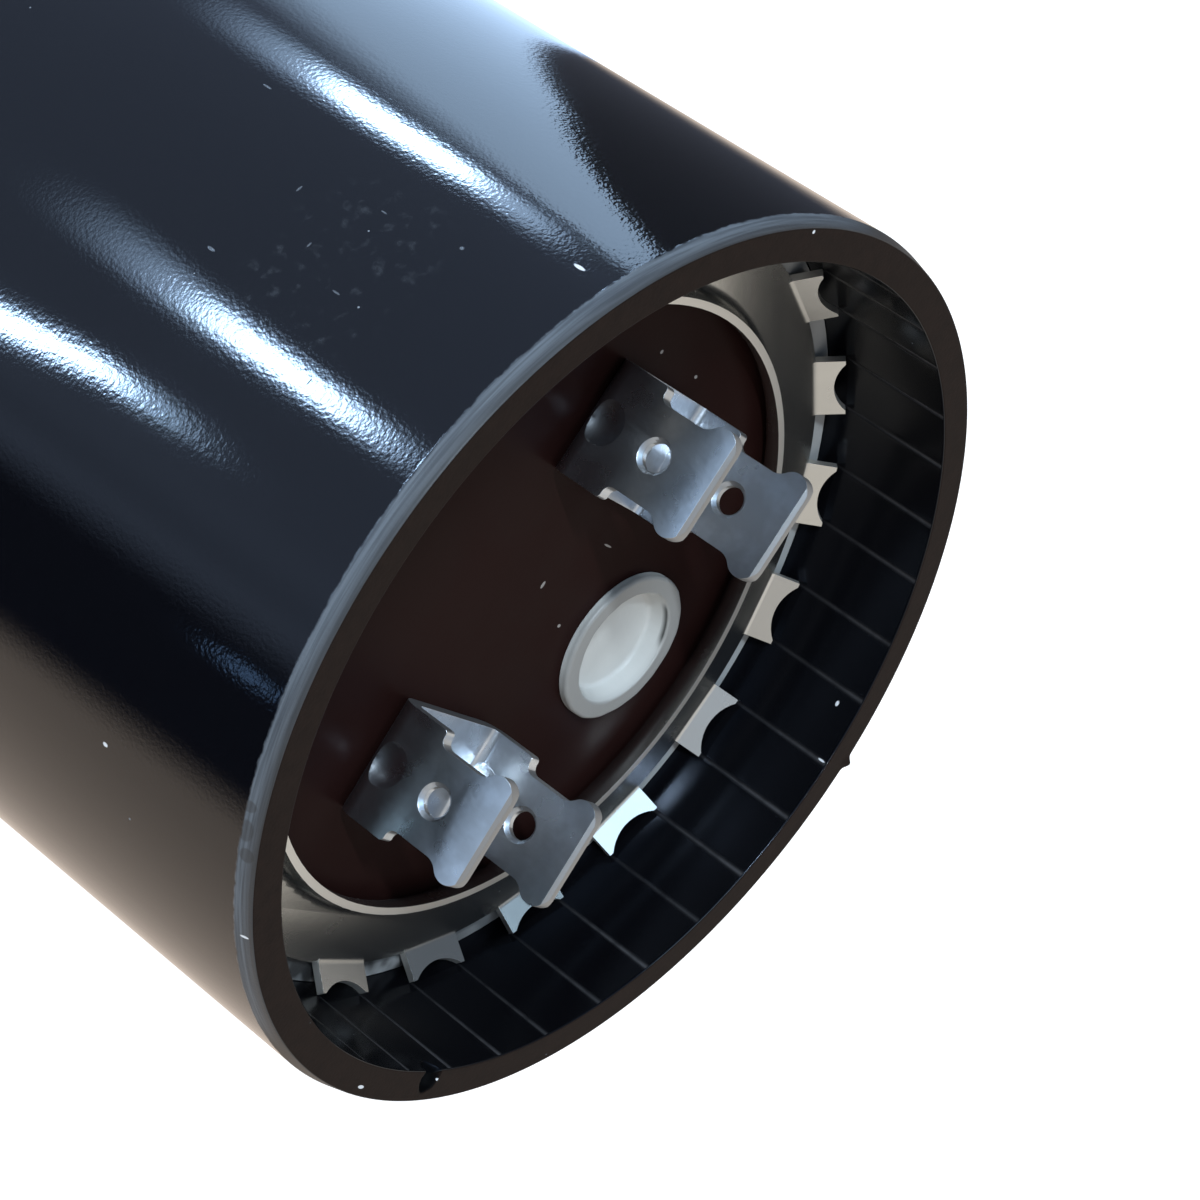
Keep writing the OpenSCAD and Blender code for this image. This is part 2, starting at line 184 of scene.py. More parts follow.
def offset_from(turn):
    """Distance of each column from a turn, along the bore."""
    return ((case_columns - turn + math.pi) % (2 * math.pi) - math.pi) * bore_r


radius = case_outline[:, :1] + np.zeros(len(case_columns))
height = case_outline[:, 1:] + np.zeros(len(case_columns))

# Each score line is a groove with a low ridge on both sides, wider towards the rim
offsets = np.stack([offset_from(turn) for turn in score_turns])
nearest = np.argmin(np.abs(offsets), axis=0)
across = np.take_along_axis(offsets, nearest[None], axis=0)
in_bore = (np.abs(case_outline[:, :1] - bore_r) < 0.001 * mm) * rise(height, score_low, score_low + 0.2 * mm)
half_width = score_half + score_widening * (height - score_low) / (case_h - score_low)
force = score_force[nearest] * in_bore
groove = np.exp(-(across / half_width) ** 2)
ridge = np.exp(-((np.abs(across) - 1.9 * half_width) / (0.6 * half_width)) ** 2)
radius = radius + score_depth * force * (groove - 0.3 * ridge)
score = force * np.exp(-(across / (1.25 * half_width)) ** 2) * (0.3 + 0.7 * rise(height, score_low, case_h))

# The chip is the part of the rim inside a ragged ellipsoid on its inner edge: what lies inside is
# carried outwards and down, in equal parts, until it meets the ellipsoid
chip_across = offset_from(chip_turn) + np.zeros_like(radius)
ragged = 1 + 0.06 * np.sin(chip_across / (0.17 * mm) + height / (0.31 * mm)) * np.cos(radius / (0.23 * mm))
from_chip = np.stack([radius - bore_r - chip_out, chip_across, height - case_h], axis=-1)
from_chip = from_chip / (chip_size * ragged[..., None])
carry = np.array([1, 0, -1]) / math.sqrt(2) / chip_size
on_carry = from_chip @ carry
inside = 1 - np.sum(from_chip ** 2, axis=-1)
length = (np.sqrt(np.maximum(on_carry ** 2 + (carry @ carry) * inside, 0)) - on_carry) / (carry @ carry)
chipped = inside > 0
radius = np.where(chipped, radius + length / math.sqrt(2), radius)
height = np.where(chipped, height - length / math.sqrt(2), height)
chip = rise(inside, -0.25, 0.1)

# A burr of flash stands out from the outer edge of the rim
burr_from = np.hypot(radius - (case_r - bevel_in), height - case_h) / burr_size
burr = np.exp(-(offset_from(burr_turn) / burr_size) ** 2 - burr_from ** 2)
radius = radius + burr_out * burr
height = height + burr_up * burr

# Marks for the material: height above the foot of the bevel, in millimetres, the flat of the rim, and the
# duller inside and underside of the cup
is_outside = np.arange(len(case_outline)) <= np.argmax(case_outline[:, 1] >= case_h - 1e-9)
bevel = np.where(is_outside[:, None], (case_outline[:, 1:] - bevel_z) / mm, -5) + 0 * radius
on_rim = (case_outline[:, 1:] > case_h - 0.02 * mm) & (case_outline[:, :1] < case_r - bevel_in - 0.03 * mm)
rim = on_rim * 1.0 + 0 * radius
is_duller = (case_outline[:, :1] < bore_r + 0.2 * mm) & (case_outline[:, 1:] < case_h - 0.05 * mm)
bore = is_duller * 1.0 + 0 * radius
case = revolved_piece("case_cup", radius, height, case_columns,
                      marks={"score": score, "chip": chip, "bevel": bevel, "rim": rim, "bore": bore})


def new_material(name):
    """Procedural material: returns it with its node tree, its shader and its Object coordinates."""
    material = bpy.data.materials.new(name)
    material.use_nodes = True
    tree = material.node_tree
    shader = tree.nodes["Principled BSDF"]
    place = tree.nodes.new("ShaderNodeTexCoord").outputs["Object"]
    return material, tree, shader, place


def node(tree, kind, inputs, **settings):
    """Adds a node with its own settings, and fills its inputs with values or with other nodes' outputs."""
    made = tree.nodes.new("ShaderNode" + kind)
    for name, value in settings.items():
        setattr(made, name, value)
    for key, value in inputs.items():
        if isinstance(value, bpy.types.NodeSocket):
            tree.links.new(value, made.inputs[key])
        else:
            made.inputs[key].default_value = value
    return made


def noise(tree, place, scale, detail=2.0, stretch=(1, 1, 1)):
    """Noise with a number of cells to the metre, drawn out along the axes by one over stretch."""
    if stretch != (1, 1, 1):
        place = node(tree, "Mapping", {"Vector": place, "Scale": stretch}).outputs[0]
    return node(tree, "TexNoise", {"Vector": place, "Scale": scale, "Detail": detail}).outputs["Fac"]


def between(tree, value, low, high, to_low=0.0, to_high=1.0):
    """Smooth step of a value between low and high, carried to another range."""
    inputs = {"Value": value, "From Min": low, "From Max": high, "To Min": to_low, "To Max": to_high}
    return node(tree, "MapRange", inputs, interpolation_type="SMOOTHSTEP").outputs[0]


def combine(tree, operation, first, second):
    """Two numbers joined by an operation."""
    return node(tree, "Math", {0: first, 1: second}, operation=operation).outputs[0]


def blend_colour(tree, share, first, second):
    """Colour that goes from the first to the second as share goes from 0 to 1."""
    return node(tree, "Mix", {0: share, 6: first, 7: second}, data_type="RGBA").outputs[2]


def blend_value(tree, share, first, second):
    """Number that goes from the first to the second as share goes from 0 to 1."""
    return node(tree, "Mix", {0: share, 2: first, 3: second}, data_type="FLOAT").outputs[0]


def mark(tree, name):
    """Number that the points of the piece carry."""
    return node(tree, "Attribute", {}, attribute_name=name).outputs["Fac"]


def along_side(tree, vector, side):
    """How far a vector reaches in the direction of a side."""
    return node(tree, "VectorMath", {0: vector, 1: side}, operation="DOT_PRODUCT").outputs["Value"]


def specks(tree, place, scale, size, share):
    """Round specks: the middles of random cells, of a size in cells, kept in a share of the cells."""
    cells = node(tree, "TexVoronoi", {"Vector": place, "Scale": scale})
    dots = between(tree, cells.outputs["Distance"], size, size * 0.5)
    kept = node(tree, "SeparateColor", {"Color": cells.outputs["Color"]}).outputs[0]
    return combine(tree, "MULTIPLY", dots, between(tree, kept, 1 - share, 1 - share + 0.02))


def spot(tree, place, centre, size):
    """One mark round a point, drawn out by a size along each axis."""
    offset = node(tree, "VectorMath", {0: place, 1: centre}, operation="SUBTRACT").outputs[0]
    scaled = node(tree, "VectorMath", {0: offset, 1: size}, operation="DIVIDE").outputs[0]
    distance = node(tree, "VectorMath", {0: scaled}, operation="LENGTH").outputs["Value"]
    return between(tree, distance, 1.0, 0.7)


def bumped(tree, height_value, depth, normal=None):
    """Surface direction tilted by a height of 0 to 1 times a depth in metres."""
    inputs = {"Height": height_value, "Distance": depth, "Strength": 1.0}
    if normal is not None:
        inputs["Normal"] = normal
    return node(tree, "Bump", inputs).outputs[0]


def wall_point(turn, z, r):
    """Point at a turn in degrees and a radius and height in millimetres."""
    angle = math.radians(turn)
    return (r * mm * math.cos(angle), r * mm * math.sin(angle), z * mm)


gloss_black = (0.0027, 0.0028, 0.0037, 1)
bore_black = (0.0022, 0.0022, 0.0030, 1)
lit_bevel_pale = (0.116, 0.133, 0.153, 1)
lit_bevel_grey = (0.050, 0.059, 0.071, 1)
bevel_brown = (0.018, 0.015, 0.013, 1)
rim_brown = (0.0190, 0.0105, 0.0080, 1)
rim_dark = (0.0085, 0.0052, 0.0043, 1)
score_grey = (0.070, 0.067, 0.069, 1)
chip_black = (0.0015, 0.0015, 0.0018, 1)
dust_grey = (0.22, 0.24, 0.27, 1)
fleck_and_glint_white = (0.75, 0.75, 0.76, 1)
plain_mirror = (1, 1, 1, 1)
cool_mirror = (0.62, 0.74, 1.0, 1)
bevel_rough = 0.5
rim_rough = 0.55
score_rough = 0.45
chip_rough = 0.7
dust_rough = 0.8
wall_mirrors = 0.5
bore_mirrors = 0.13
rim_mirrors = 0.06
chip_mirrors = 0.05
wall_grain_depth = 0.0048 * mm
trimmed_grain_depth = 0.012 * mm

case_plastic, tree, shader, place = new_material("case_plastic")
bore_share = between(tree, mark(tree, "bore"), 0.3, 0.7)
rim_share = between(tree, mark(tree, "rim"), 0.3, 0.7)
chip_share = mark(tree, "chip")
mottle = noise(tree, place, 1500, 4.0)
# The bevel has a wavering lower border. It is painted pale on the front only, a painted light as if lit from
# low in front, and elsewhere keeps its own dark brown
waver = combine(tree, "MULTIPLY", combine(tree, "SUBTRACT", noise(tree, place, 1600, 3.0), 0.5), 0.3)
bevel_share = between(tree, combine(tree, "ADD", mark(tree, "bevel"), waver), -0.10, 0.06)
lit_side = along_side(tree, place, (-0.13, -0.99, 0))
# Fine threads left by the trimming tool run along it, and it is palest at its lower edge
threads = noise(tree, place, 220, 3.0, (1, 1, 36))
lit_bevel = blend_colour(tree, between(tree, threads, 0.3, 0.7), lit_bevel_grey, lit_bevel_pale)
lit_bevel = blend_colour(tree, between(tree, mark(tree, "bevel"), 0.15, 1.05, 0.0, 0.8), lit_bevel, bevel_brown)
# Share of painted light on the bevel, growing towards the front
lit_share = between(tree, lit_side, 4.5 * mm, 10.5 * mm)
# Three smudges take some of the painted light off the bevel in spots
for turn, z, size in ((-57.5, 84.9, 0.75), (-54.5, 85.15, 0.5), (-60.5, 84.8, 0.4)):
    smudge = spot(tree, place, wall_point(turn, z, 26.1), (size * mm, size * mm, 0.5 * mm))
    lit_share = combine(tree, "SUBTRACT", lit_share, combine(tree, "MULTIPLY", smudge, 0.5))
lit_bevel = blend_colour(tree, between(tree, lit_share, 0.0, 1.0), bevel_brown, lit_bevel)
trimmed = blend_colour(tree, mottle, rim_dark, rim_brown)
broken = between(tree, noise(tree, place, 900), 0.25, 0.6, 0.55, 1)
score_share = combine(tree, "MULTIPLY", mark(tree, "score"), broken)
dust = combine(tree, "MAXIMUM", specks(tree, place, 330, 0.028, 0.16), specks(tree, place, 800, 0.05, 0.05))
for turn, z, size in ((-126.7, 61.69, (0.07, 0.07, 0.35)), (-107.1, 67.31, (0.12, 0.05, 0.3)),
                      (-118.2, 68.38, (0.3, 0.16, 0.07)), (-122.9, 77.6, (0.14, 0.1, 0.14)),
                      (-113.5, 71.4, (0.25, 0.1, 0.06)), (-110.8, 74.6, (0.06, 0.06, 0.28)),
                      (-101.5, 76.9, (0.28, 0.08, 0.05)), (-121.4, 72.9, (0.05, 0.05, 0.22))):
    hair = spot(tree, place, wall_point(turn, z, 26.2), tuple(s * mm for s in size))
    dust = combine(tree, "MAXIMUM", dust, combine(tree, "MULTIPLY", hair, 0.4))
scuff = spot(tree, place, wall_point(-113, 73.5, 26.2), (7 * mm, 7 * mm, 5 * mm))
scuff_marks = between(tree, noise(tree, place, 1300, 5.0), 0.55, 0.75, 0.0, 0.09)
scuff = combine(tree, "MULTIPLY", scuff, scuff_marks)
dust = combine(tree, "MAXIMUM", dust, scuff)
# White flecks on the wall, the bevel and the rim, and two painted glints: the white spots on the bore at
# turns 97.8 and 90.1 stand for reflections
flecks_and_glints = spot(tree, place, wall_point(-128.9, 82.74, 26.2), (0.16 * mm, 0.1 * mm, 0.4 * mm))
for turn, z, r, size in ((-2.86, 85.7, 25.36, (0.12, 0.3, 0.2)), (-42.9, 85.3, 26.05, (0.1, 0.1, 0.5)),
                         (-54.4, 74.88, 26.2, (0.14, 0.14, 0.2)), (-159.33, 85.7, 25.68, (0.12, 0.12, 0.3)),
                         (12.0, 85.6, 24.1, (0.10, 0.08, 0.2)), (12.3, 85.7, 24.6, (0.10, 0.06, 0.2)),
                         (97.8, 84.25, 24.0, (0.2, 0.15, 0.12)), (90.1, 85.25, 24.0, (0.08, 0.12, 0.28))):
    fleck_and_glint = spot(tree, place, wall_point(turn, z, r), tuple(s * mm for s in size))
    flecks_and_glints = combine(tree, "MAXIMUM", flecks_and_glints, fleck_and_glint)
colour = blend_colour(tree, bore_share, gloss_black, bore_black)
colour = blend_colour(tree, bevel_share, colour, lit_bevel)
colour = blend_colour(tree, rim_share, colour, trimmed)
colour = blend_colour(tree, score_share, colour, score_grey)
colour = blend_colour(tree, chip_share, colour, chip_black)
colour = blend_colour(tree, dust, colour, dust_grey)
colour = blend_colour(tree, flecks_and_glints, colour, fleck_and_glint_white)
smear = between(tree, noise(tree, place, 60, 3.0), 0.35, 0.7, 0.05, 0.09)
smear = combine(tree, "ADD", smear, combine(tree, "MULTIPLY", bore_share, 0.10))
rough = blend_value(tree, bevel_share, smear, bevel_rough)
rough = blend_value(tree, rim_share, rough, rim_rough)
rough = blend_value(tree, score_share, rough, score_rough)
rough = blend_value(tree, chip_share, rough, chip_rough)
rough = blend_value(tree, combine(tree, "MAXIMUM", dust, flecks_and_glints), rough, dust_rough)
# The moulded wall mirrors most, the trimmed rim, the bore and the broken chip little
mirrors = blend_value(tree, bore_share, wall_mirrors, bore_mirrors)
mirrors = blend_value(tree, rim_share, mirrors, rim_mirrors)
mirrors = blend_value(tree, chip_share, mirrors, chip_mirrors)
matt = combine(tree, "MAXIMUM", bevel_share, rim_share)
grain = combine(tree, "MULTIPLY", noise(tree, place, 4600, 1.5), blend_value(tree, bore_share, 1.0, 0.4))
normal = bumped(tree, grain, wall_grain_depth)
matt_grain = combine(tree, "MULTIPLY", noise(tree, place, 5200, 3.0), matt)
normal = bumped(tree, matt_grain, trimmed_grain_depth, normal)
tree.links.new(colour, shader.inputs["Base Color"])
tree.links.new(rough, shader.inputs["Roughness"])
tree.links.new(mirrors, shader.inputs["Specular IOR Level"])
tree.links.new(blend_colour(tree, bore_share, plain_mirror, cool_mirror), shader.inputs["Specular Tint"])
tree.links.new(normal, shader.inputs["Normal"])
case.data.materials.append(case_plastic)
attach(case, "root")
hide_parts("case")


# Bottom pad: a round cushion cut from pressed fibre sheet. It lies loose on the floor of the cup and
# carries the winding.
fibre_dark = (0.30, 0.23, 0.14, 1)
fibre_pale = (0.55, 0.45, 0.31, 1)
fibre_pad, tree, shader, place = new_material("fibre_pad")
fibres = noise(tree, place, 900, 5.0, (1, 0.3, 1))
tree.links.new(blend_colour(tree, fibres, fibre_dark, fibre_pale), shader.inputs["Base Color"])
tree.links.new(bumped(tree, fibres, 0.1 * mm), shader.inputs["Normal"])
shader.inputs["Roughness"].default_value = 0.9


def finish_node(name, material):
    """Gives a CAD piece its finish."""
    mesh = nodes[name].data
    mesh.materials.clear()
    mesh.materials.append(material)


finish_node("bottom_pad", fibre_pad)


# Winding: aluminium foil and oiled paper rolled up on an arbor, whose turns show as fine rings on
# both ends. It stands on the pad with an air gap to the wall.
oiled_dark = (0.52, 0.44, 0.30, 1)
oiled_pale = (0.68, 0.61, 0.47, 1)
foil_edge_grey = (0.40, 0.36, 0.29, 1)
wound_paper, tree, shader, place = new_material("wound_paper")
ring_inputs = {"Vector": place, "Scale": 620, "Distortion": 1.2, "Detail": 2, "Detail Scale": 2}
rings = node(tree, "TexWave", ring_inputs, wave_type="RINGS", rings_direction="Z").outputs["Fac"]
stains = noise(tree, place, 130, 4.0)
paper = blend_colour(tree, stains, oiled_dark, oiled_pale)
tree.links.new(blend_colour(tree, rings, paper, foil_edge_grey), shader.inputs["Base Color"])
tree.links.new(bumped(tree, rings, 0.05 * mm), shader.inputs["Normal"])
shader.inputs["Roughness"].default_value = 0.6
finish_node("winding", wound_paper)


# Winding tape: a band of kraft paper with a fibrous face. It is glued round the middle of the roll and
# keeps it closed.
kraft_dark = (0.60, 0.53, 0.39, 1)
kraft_pale = (0.78, 0.73, 0.60, 1)
paper_band, tree, shader, place = new_material("paper_band")
pulp = noise(tree, place, 700, 5.0, (1, 1, 0.25))
tree.links.new(blend_colour(tree, pulp, kraft_dark, kraft_pale), shader.inputs["Base Color"])
tree.links.new(bumped(tree, pulp, 0.02 * mm), shader.inputs["Normal"])
shader.inputs["Roughness"].default_value = 0.75
finish_node("winding_tape", paper_band)


# Lead tabs: strips of soft aluminium foil, bright and finely rolled, held under the rivets and folded
# down onto the winding.
foil_bright = (0.75, 0.76, 0.78, 1)
cut_rough = 0.5


def plated_metal(name, colour, roughness, scale, stretch, depth, dulling=0.85, cut_colour=None):
    """Metal with rolling or stamping marks: noise drawn out along one axis moves colour, gloss and height.
    Clouds darken it to the share dulling. With a cut colour, the sheared edges that a piece marks are
    rougher and of that colour."""
    material, tree, shader, place = new_material(name)
    marks = noise(tree, place, scale, 3.0, stretch)
    clouds = noise(tree, place, 450, 3.0)
    dull = tuple(dulling * c for c in colour[:3]) + (1,)
    tint = blend_colour(tree, between(tree, clouds, 0.35, 0.65), dull, colour)
    uneven = roughness * (1 - dulling) / 2
    gloss = between(tree, clouds, 0.3, 0.7, roughness + uneven, roughness - uneven)
    if cut_colour is not None:
        tint = blend_colour(tree, mark(tree, "cut"), tint, cut_colour)
        gloss = blend_value(tree, mark(tree, "cut"), gloss, cut_rough)
    tree.links.new(tint, shader.inputs["Base Color"])
    tree.links.new(gloss, shader.inputs["Roughness"])
    tree.links.new(bumped(tree, marks, depth), shader.inputs["Normal"])
    shader.inputs["Metallic"].default_value = 1
    return material


foil = plated_metal("foil_tab", foil_bright, 0.25, 2500, (0.05, 1, 1), 0.003 * mm)
finish_node("lead_tab_left", foil)
finish_node("lead_tab_right", foil)


# Rivet washers: plain washers punched from plated steel sheet. They press the lead tabs against the disc
# from below and spread the peened ends of the rivets.
washer_grey = (0.55, 0.55, 0.54, 1)
washer_steel = plated_metal("washer_steel", washer_grey, 0.35, 2000, (1, 1, 1), 0.004 * mm)
finish_node("rivet_washer_left", washer_steel)
finish_node("rivet_washer_right", washer_steel)


# Header disc: punched from a satin sheet of dark brown laminate, with dust and a hair on its face. It
# rests on the ledge in the bore and closes the cup.
disc_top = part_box("header_disc")[1].z
laminate_dark = (0.0130, 0.0048, 0.0042, 1)
laminate_pale = (0.0185, 0.0070, 0.0060, 1)
lint_grey = (0.30, 0.27, 0.25, 1)
disc_laminate, tree, shader, place = new_material("disc_laminate")
sheet = noise(tree, place, 240, 4.0)
fine = noise(tree, place, 3000, 2.0)
brown = blend_colour(tree, sheet, laminate_dark, laminate_pale)
lint = specks(tree, place, 420, 0.05, 0.10)
for x, y, wide, long in ((-1.20, 1.29, 0.26, 0.14), (0.46, 4.95, 0.12, 0.16), (-14.99, -1.17, 0.14, 0.14),
                         (-14.80, 3.06, 0.12, 0.16), (-4.61, 4.77, 0.07, 0.45)):
    fluff = spot(tree, place, (x * mm, y * mm, disc_top), (wide * mm, long * mm, 0.3 * mm))
    lint = combine(tree, "MAXIMUM", lint, fluff)
tree.links.new(blend_colour(tree, lint, brown, lint_grey), shader.inputs["Base Color"])
tree.links.new(between(tree, sheet, 0.3, 0.7, 0.34, 0.44), shader.inputs["Roughness"])
shader.inputs["Specular IOR Level"].default_value = 0.03
tree.links.new(bumped(tree, fine, 0.004 * mm), shader.inputs["Normal"])
finish_node("header_disc", disc_laminate)


# Header gasket: an L-shaped grey rubber ring pressed between the disc and the bore. Its lip lies over
# the edge of the disc under the retaining ring, and one side of it is darkened in patches, a painted shade.
rubber_dark = (0.34, 0.34, 0.34, 1)
rubber_pale = (0.46, 0.46, 0.45, 1)
gasket_shade_black = (0.035, 0.034, 0.034, 1)
gasket_rubber, tree, shader, place = new_material("gasket_rubber")
bloom = noise(tree, place, 500, 4.0)
grey = blend_colour(tree, bloom, rubber_dark, rubber_pale)
# Painted shade: the side under the front rim is darkened in patches
shaded_side = between(tree, along_side(tree, place, (0.92, -0.39, 0)), 6 * mm, 16 * mm)
gasket_shade = combine(tree, "MULTIPLY", shaded_side, between(tree, noise(tree, place, 220, 3.0), 0.60, 0.48))
tree.links.new(blend_colour(tree, gasket_shade, grey, gasket_shade_black), shader.inputs["Base Color"])
tree.links.new(bumped(tree, noise(tree, place, 3500), 0.01 * mm), shader.inputs["Normal"])
shader.inputs["Roughness"].default_value = 0.6
finish_node("header_gasket", gasket_rubber)


# Vent plug: a pale rubber plug snapped into the disc. A flange lies on the disc, a bead grips below
# it, and the skin under the round recess bursts if the pressure inside rises.
plug_low, plug_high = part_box("vent_plug")
plug_axis = (0, (plug_low.y + plug_high.y) / 2)
flange_r = plug_high.x
neck_r = 4.0 * mm
bead_r = neck_r + 0.5 * mm
bead_top = plug_low.z + 1.0 * mm
recess_r = 3.5 * mm
recess_floor_r = 3.2 * mm
skin_top = plug_high.z - 1.3 * mm
skin_low = skin_top - 0.8 * mm
skin_corner_r = 0.15 * mm
plug_edge_r = 0.1 * mm
neck_corner_r = 0.08 * mm
flange_edge_r = 0.22 * mm
recess_edge_r = 0.16 * mm
recess_corner_r = 0.3 * mm
plug_outline = rounded_outline([
    (0, skin_low, 0, 3),
    (recess_floor_r, skin_low, skin_corner_r, 3),
    (recess_floor_r, plug_low.z, plug_edge_r, 2),
    (neck_r, plug_low.z, plug_edge_r, 2),
    (bead_r, bead_top, plug_edge_r, 2),
    (neck_r, bead_top, neck_corner_r, 2),
    (neck_r, disc_top, neck_corner_r, 2),
    (flange_r, disc_top, plug_edge_r, 2),
    (flange_r, plug_high.z, flange_edge_r, 3),
    (recess_r, plug_high.z, recess_edge_r, 3),
    (recess_floor_r, skin_top, recess_corner_r, 6),
    (0, skin_top, 0, 3),
])
plug_turns = np.arange(180) * 2 * math.pi / 180
plug_radius = plug_outline[:, :1] + np.zeros(len(plug_turns))
plug_height = plug_outline[:, 1:] + np.zeros(len(plug_turns))
# The moulded flange isn't quite round: it wanders by a few hundredths of a millimetre
wander = 0.03 * np.sin(3 * plug_turns + 1.0) + 0.02 * np.sin(7 * plug_turns)
wander = wander + 0.012 * np.sin(19 * plug_turns)
flange_rise = rise(plug_height, disc_top, plug_high.z)
plug_radius = plug_radius + wander * mm * flange_rise * (plug_radius > recess_r)
plug_dull = (0.54, 0.53, 0.50, 1)
plug_pale = (0.64, 0.63, 0.60, 1)
flange_shade_grey = (0.30, 0.29, 0.275, 1)
dirt_brown = (0.18, 0.17, 0.15, 1)
tear_dark = (0.03, 0.028, 0.025, 1)
plug_rubber, tree, shader, place = new_material("plug_rubber")
cloud = noise(tree, place, 420, 4.0)
dirt = specks(tree, place, 900, 0.09, 0.07)
pale = blend_colour(tree, cloud, plug_dull, plug_pale)
# Painted shade darkens the flange
pale = blend_colour(tree, mark(tree, "flange"), pale, flange_shade_grey)
pale = blend_colour(tree, dirt, pale, dirt_brown)
tree.links.new(blend_colour(tree, mark(tree, "tear"), pale, tear_dark), shader.inputs["Base Color"])
tree.links.new(between(tree, cloud, 0.3, 0.7, 0.38, 0.5), shader.inputs["Roughness"])
tree.links.new(bumped(tree, noise(tree, place, 2600, 3.0), 0.012 * mm), shader.inputs["Normal"])
# A thin dark tear runs along the far edge of the recess
tear_from = np.hypot(plug_radius - recess_r + 0.02 * mm, plug_height - plug_high.z + 0.17 * mm)
tear_turns = np.degrees(plug_turns)
tear = np.exp(-(tear_from / (0.10 * mm)) ** 2) * rise(tear_turns, 100, 116) * rise(-tear_turns, -160, -146)
# The flange is painted darker than the recess, a painted shade
flange = rise(plug_radius, recess_r - 0.1 * mm, recess_r + 0.1 * mm) * flange_rise
plug = revolved_piece("vent_plug_moulding", plug_radius, plug_height, plug_turns, plug_axis,
                      {"tear": tear, "flange": flange})
plug.data.materials.append(plug_rubber)
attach(plug, "root")
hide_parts("vent_plug")


# Terminals: double push-on blades folded up from one tin-plated strip, with a dart pressed into each
# fold to stiffen it, coined tips and a countersunk detent hole in each blade.
def eased_copy(name, source, edge, material, is_cut=None):
    """Copy of a CAD piece with its doubles merged, its flat faces joined and its sharp edges rounded. Faces
    that is_cut picks by their centres and directions carry the mark cut."""
    work = bmesh.new()
    work.from_mesh(nodes[source].data)
    bmesh.ops.remove_doubles(work, verts=work.verts, dist=0.0005 * mm)
    bmesh.ops.dissolve_limit(work, angle_limit=math.radians(0.3), verts=work.verts, edges=work.edges)
    mesh = bpy.data.meshes.new(name)
    work.to_mesh(mesh)
    work.free()
    mesh.polygons.foreach_set("use_smooth", np.ones(len(mesh.polygons), bool))
    mesh.set_sharp_from_angle(angle=math.radians(30))
    mesh.materials.clear()
    mesh.materials.append(material)
    if is_cut is not None:
        centres = np.empty(3 * len(mesh.polygons), np.float32)
        normals = np.empty(3 * len(mesh.polygons), np.float32)
        mesh.polygons.foreach_get("center", centres)
        mesh.polygons.foreach_get("normal", normals)
        cut = is_cut(centres.reshape(-1, 3), normals.reshape(-1, 3)).astype(np.float32)
        mesh.attributes.new("cut", "FLOAT", "FACE").data.foreach_set("value", cut)
    piece = bpy.data.objects.new(name, mesh)
    bpy.context.scene.collection.objects.link(piece)
    easing = piece.modifiers.new("eased edges", "BEVEL")
    easing.width = edge
    easing.segments = 3
    easing.limit_method = "ANGLE"
    easing.angle_limit = math.radians(30)
    easing.harden_normals = True
    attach(piece, "root")
    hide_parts(source)
    return piece


blade_edge_r = 0.07 * mm
tip_low = disc_top + 8 * mm
left_start = disc_top + 2.6 * mm
right_start = disc_top + 0.6 * mm
drawn_depth = 0.024 * mm
tin_grey = (0.62, 0.66, 0.71, 1)
tin_cut = (0.36, 0.36, 0.365, 1)


def strip_edge(centres, normals):
    """Sheared edges of a terminal strip: they face sideways, or upwards at the tips."""
    return (np.abs(normals[:, 0]) > 0.6) | ((centres[:, 2] > tip_low) & (normals[:, 2] > 0.5))


tinned = plated_metal("tinned_terminal", tin_grey, 0.30, 2600, (1, 1, 0.5), 0.011 * mm,
                      dulling=0.74, cut_colour=tin_cut)
# The front blades are drawn back a little towards their tips: their slope grows with the height above a
# start, lower on the right terminal than on the left one, as the height -(z - start)^2 of a bump makes it
tree = tinned.node_tree
shader = tree.nodes["Principled BSDF"]
place = node(tree, "TexCoord", {}).outputs["Object"]
apart = node(tree, "SeparateXYZ", {"Vector": place})
start = between(tree, apart.outputs["X"], -1 * mm, 1 * mm, left_start, right_start)
above_start = combine(tree, "MULTIPLY", combine(tree, "SUBTRACT", apart.outputs["Z"], start), 1 / mm)
above_start = combine(tree, "MAXIMUM", above_start, 0.0)
drawn_back = combine(tree, "MULTIPLY", combine(tree, "POWER", above_start, 2.0), -1.0)
drawn_back = combine(tree, "MULTIPLY", drawn_back, between(tree, apart.outputs["Y"], 0.5 * mm, -0.5 * mm))
flat_normal = shader.inputs["Normal"].links[0].from_socket
tree.links.new(bumped(tree, drawn_back, drawn_depth, flat_normal), shader.inputs["Normal"])
for side in ("left", "right"):
    eased_copy("terminal_%s_blades" % side, "terminal_" + side, blade_edge_r, tinned,
               strip_edge)


# Rivets: solid metal rivets with a low domed head inside the fork of each terminal. They pass through
# the disc and the lead tab and are peened over the washer below.
rivet_edge_r = 0.06 * mm
rivet_grey = (0.62, 0.62, 0.62, 1)
rivet_metal = plated_metal("rivet_metal", rivet_grey, 0.32, 1800, (1, 1, 1), 0.005 * mm)
for side in ("left", "right"):
    eased_copy("rivet_%s_turned" % side, "rivet_" + side, rivet_edge_r, rivet_metal)


# Retaining ring: stamped from thin plated spring steel, with an upturned lip and 19 bent-up teeth whose
# scalloped ends bite into the bore.
ring_edge_r = 0.06 * mm
ring_grey = (0.60, 0.59, 0.56, 1)
ring_cut = (0.80, 0.77, 0.72, 1)
lip_outer_r = 18.9 * mm
lip_edge_low = disc_top + 1.5 * mm
tooth_inner_r = 22 * mm


